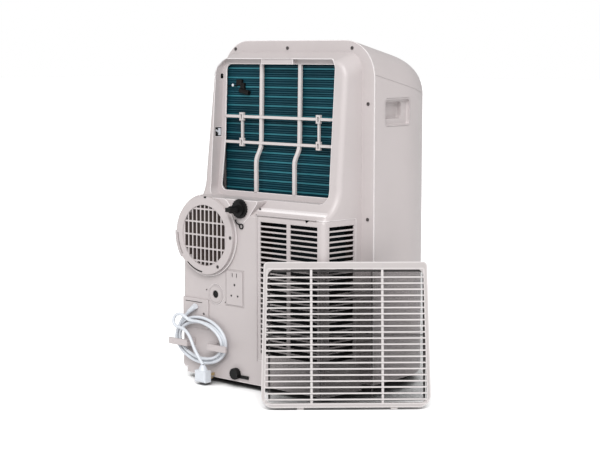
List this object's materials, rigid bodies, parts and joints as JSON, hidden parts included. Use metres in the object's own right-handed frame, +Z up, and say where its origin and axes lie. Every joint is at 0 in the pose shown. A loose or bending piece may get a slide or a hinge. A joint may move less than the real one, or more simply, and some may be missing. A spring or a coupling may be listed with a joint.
{
  "type": "portable air conditioner",
  "caption": "Floor-standing room air conditioner on casters with rear exhaust outlet, coiled mains cord and its upper filter grille leaning loose against the back.",
  "frame": {"origin": "on the floor midway between the casters of the two sides, 92 mm in front of the flange of the rear shell", "axes": "+Z up, +Y out of the back where the air leaves through the exhaust outlet, +X towards the side that carries the exhaust outlet"},
  "size_m": [0.6188, 0.5132, 0.747],
  "materials": {
    "shell_plastic": "fine-textured injection moulded plastic, warm light grey",
    "grille_plastic": "smooth moulded plastic, pale grey",
    "filter_mesh": "woven nylon filter net",
    "base_plastic": "dark grey moulded plastic",
    "control_plastic": "smooth moulded plastic",
    "button_plastic": "moulded keys",
    "display_glass": "smoked window",
    "coil_fins": "blue-green hydrophilic coated fins",
    "black_rubber": "moulded rubber",
    "sensor_plastic": "black clip",
    "cord_jacket": "smooth white PVC",
    "pin_brass": "bare blades",
    "screw_steel": "dark passivated screws",
    "copper_tube": "drawn copper tube",
    "painted_can": "black enamel",
    "caster_plastic": "black nylon"
  },
  "bodies": {
    "housing": {"front_shell": "shell_plastic", "top_cover": "shell_plastic", "rear_shell": "shell_plastic", "coil_guard": "shell_plastic", "lower_intake_grille": "shell_plastic", "side_grips": "shell_plastic", "cord_cover": "shell_plastic", "cord_hooks": "shell_plastic", "exhaust_collar": "shell_plastic", "exhaust_guard": "shell_plastic", "hose_port": "shell_plastic", "plug_parking_plate": "shell_plastic", "base_pan": "base_plastic", "mid_deck": "base_plastic", "blower_scroll": "base_plastic", "exhaust_duct": "base_plastic", "outlet_duct": "base_plastic", "control_panel": "control_plastic", "display_window": "display_glass", "evaporator_coil": "coil_fins", "condenser_coil": "coil_fins", "cap_tether": "black_rubber", "compressor_feet": "black_rubber", "coil_sensor": "sensor_plastic", "cord_lead": "cord_jacket", "cord_coil": "cord_jacket", "cord_tail": "cord_jacket", "strain_relief": "cord_jacket", "plug": "cord_jacket", "plug_pins": "pin_brass", "case_screws": "screw_steel", "refrigerant_pipes": "copper_tube", "compressor": "painted_can", "blower_motor": "painted_can", "exhaust_motor": "painted_can", "control_box": "painted_can"},
    "filter_grille": {"filter_grille": "grille_plastic"},
    "filter_net": {"filter_net": "filter_mesh"},
    "louver_flap": {"louver_flap": "control_plastic"},
    "air_vane_1": {"air_vane_1": "control_plastic"},
    "air_vane_2": {"air_vane_2": "control_plastic"},
    "air_vane_3": {"air_vane_3": "control_plastic"},
    "blower_wheel": {"blower_wheel": "base_plastic"},
    "exhaust_wheel": {"exhaust_wheel": "base_plastic"},
    "drain_cap": {"drain_cap": "black_rubber"},
    "lower_drain_plug": {"lower_drain_plug": "black_rubber"},
    "button_power": {"button_power": "button_plastic"},
    "button_timer": {"button_timer": "button_plastic"},
    "button_mode": {"button_mode": "button_plastic"},
    "button_fan": {"button_fan": "button_plastic"},
    "button_down": {"button_down": "button_plastic"},
    "button_up": {"button_up": "button_plastic"},
    "caster_fork_1": {"caster_fork_1": "caster_plastic"},
    "caster_wheel_1": {"caster_wheel_1": "caster_plastic"},
    "caster_fork_2": {"caster_fork_2": "caster_plastic"},
    "caster_wheel_2": {"caster_wheel_2": "caster_plastic"},
    "caster_fork_3": {"caster_fork_3": "caster_plastic"},
    "caster_wheel_3": {"caster_wheel_3": "caster_plastic"},
    "caster_fork_4": {"caster_fork_4": "caster_plastic"},
    "caster_wheel_4": {"caster_wheel_4": "caster_plastic"}
  },
  "joints": [
    {"name": "filter_grille_lift", "type": "slide", "parent": "housing", "child": "filter_grille", "axis": [-0.4768, 0.5222, 0.7071], "range_m": [0, 0.3]},
    {"name": "filter_net_slide", "type": "slide", "parent": "filter_grille", "child": "filter_net", "axis": [-0.7385, -0.6743, 0], "range_m": [0, 0.3]},
    {"name": "louver_open", "type": "hinge", "parent": "housing", "child": "louver_flap", "pos_m": [-0.01, -0.03887, 0.71635], "axis": [-1, 0, 0], "range_deg": [0, 70]},
    {"name": "air_vane_1_swing", "type": "hinge", "parent": "housing", "child": "air_vane_1", "pos_m": [-0.076, -0.05967, 0.68265], "axis": [0, -0.2164, 0.9763], "range_deg": [-35, 35]},
    {"name": "air_vane_2_swing", "type": "hinge", "parent": "housing", "child": "air_vane_2", "pos_m": [-0.01, -0.05967, 0.68265], "axis": [0, -0.2164, 0.9763], "range_deg": [-35, 35]},
    {"name": "air_vane_3_swing", "type": "hinge", "parent": "housing", "child": "air_vane_3", "pos_m": [0.056, -0.05967, 0.68265], "axis": [0, -0.2164, 0.9763], "range_deg": [-35, 35]},
    {"name": "button_power_press", "type": "slide", "parent": "housing", "child": "button_power", "axis": [0, 0.2164, -0.9763], "range_m": [0, 0.0012], "stiffness_N_per_m": 500, "springref_m": -0.0012},
    {"name": "button_timer_press", "type": "slide", "parent": "housing", "child": "button_timer", "axis": [0, 0.2164, -0.9763], "range_m": [0, 0.0012], "stiffness_N_per_m": 500, "springref_m": -0.0012},
    {"name": "button_mode_press", "type": "slide", "parent": "housing", "child": "button_mode", "axis": [0, 0.2164, -0.9763], "range_m": [0, 0.0012], "stiffness_N_per_m": 500, "springref_m": -0.0012},
    {"name": "button_fan_press", "type": "slide", "parent": "housing", "child": "button_fan", "axis": [0, 0.2164, -0.9763], "range_m": [0, 0.0012], "stiffness_N_per_m": 500, "springref_m": -0.0012},
    {"name": "button_down_press", "type": "slide", "parent": "housing", "child": "button_down", "axis": [0, 0.2164, -0.9763], "range_m": [0, 0.0012], "stiffness_N_per_m": 500, "springref_m": -0.0012},
    {"name": "button_up_press", "type": "slide", "parent": "housing", "child": "button_up", "axis": [0, 0.2164, -0.9763], "range_m": [0, 0.0012], "stiffness_N_per_m": 500, "springref_m": -0.0012},
    {"name": "blower_spin", "type": "hinge", "parent": "housing", "child": "blower_wheel", "pos_m": [-0.01, -0.06, 0.545], "axis": [0, 1, 0], "continuous": true},
    {"name": "exhaust_spin", "type": "hinge", "parent": "housing", "child": "exhaust_wheel", "pos_m": [-0.06, 0.06, 0.29], "axis": [0, 1, 0], "continuous": true},
    {"name": "drain_cap_pull", "type": "slide", "parent": "housing", "child": "drain_cap", "axis": [0, 1, 0], "range_m": [0, 0.022]},
    {"name": "lower_drain_plug_pull", "type": "slide", "parent": "housing", "child": "lower_drain_plug", "axis": [0, 1, 0], "range_m": [0, 0.018]},
    {"name": "caster_1_swivel", "type": "hinge", "parent": "housing", "child": "caster_fork_1", "pos_m": [0.15, -0.085, 0.03], "axis": [0, 0, 1], "continuous": true},
    {"name": "caster_1_roll", "type": "hinge", "parent": "caster_fork_1", "child": "caster_wheel_1", "pos_m": [0.15, -0.094, 0.014], "axis": [1, 0, 0], "continuous": true},
    {"name": "caster_2_swivel", "type": "hinge", "parent": "housing", "child": "caster_fork_2", "pos_m": [-0.15, -0.085, 0.03], "axis": [0, 0, 1], "continuous": true},
    {"name": "caster_2_roll", "type": "hinge", "parent": "caster_fork_2", "child": "caster_wheel_2", "pos_m": [-0.15, -0.094, 0.014], "axis": [1, 0, 0], "continuous": true},
    {"name": "caster_3_swivel", "type": "hinge", "parent": "housing", "child": "caster_fork_3", "pos_m": [0.15, 0.166, 0.03], "axis": [0, 0, 1], "continuous": true},
    {"name": "caster_3_roll", "type": "hinge", "parent": "caster_fork_3", "child": "caster_wheel_3", "pos_m": [0.15, 0.157, 0.014], "axis": [1, 0, 0], "continuous": true},
    {"name": "caster_4_swivel", "type": "hinge", "parent": "housing", "child": "caster_fork_4", "pos_m": [-0.15, 0.166, 0.03], "axis": [0, 0, 1], "continuous": true},
    {"name": "caster_4_roll", "type": "hinge", "parent": "caster_fork_4", "child": "caster_wheel_4", "pos_m": [-0.15, 0.157, 0.014], "axis": [1, 0, 0], "continuous": true}
  ],
  "couplings": [
    {"joint": "air_vane_1_swing", "follows": "air_vane_2_swing", "ratio": 1},
    {"joint": "air_vane_3_swing", "follows": "air_vane_2_swing", "ratio": 1}
  ]
}
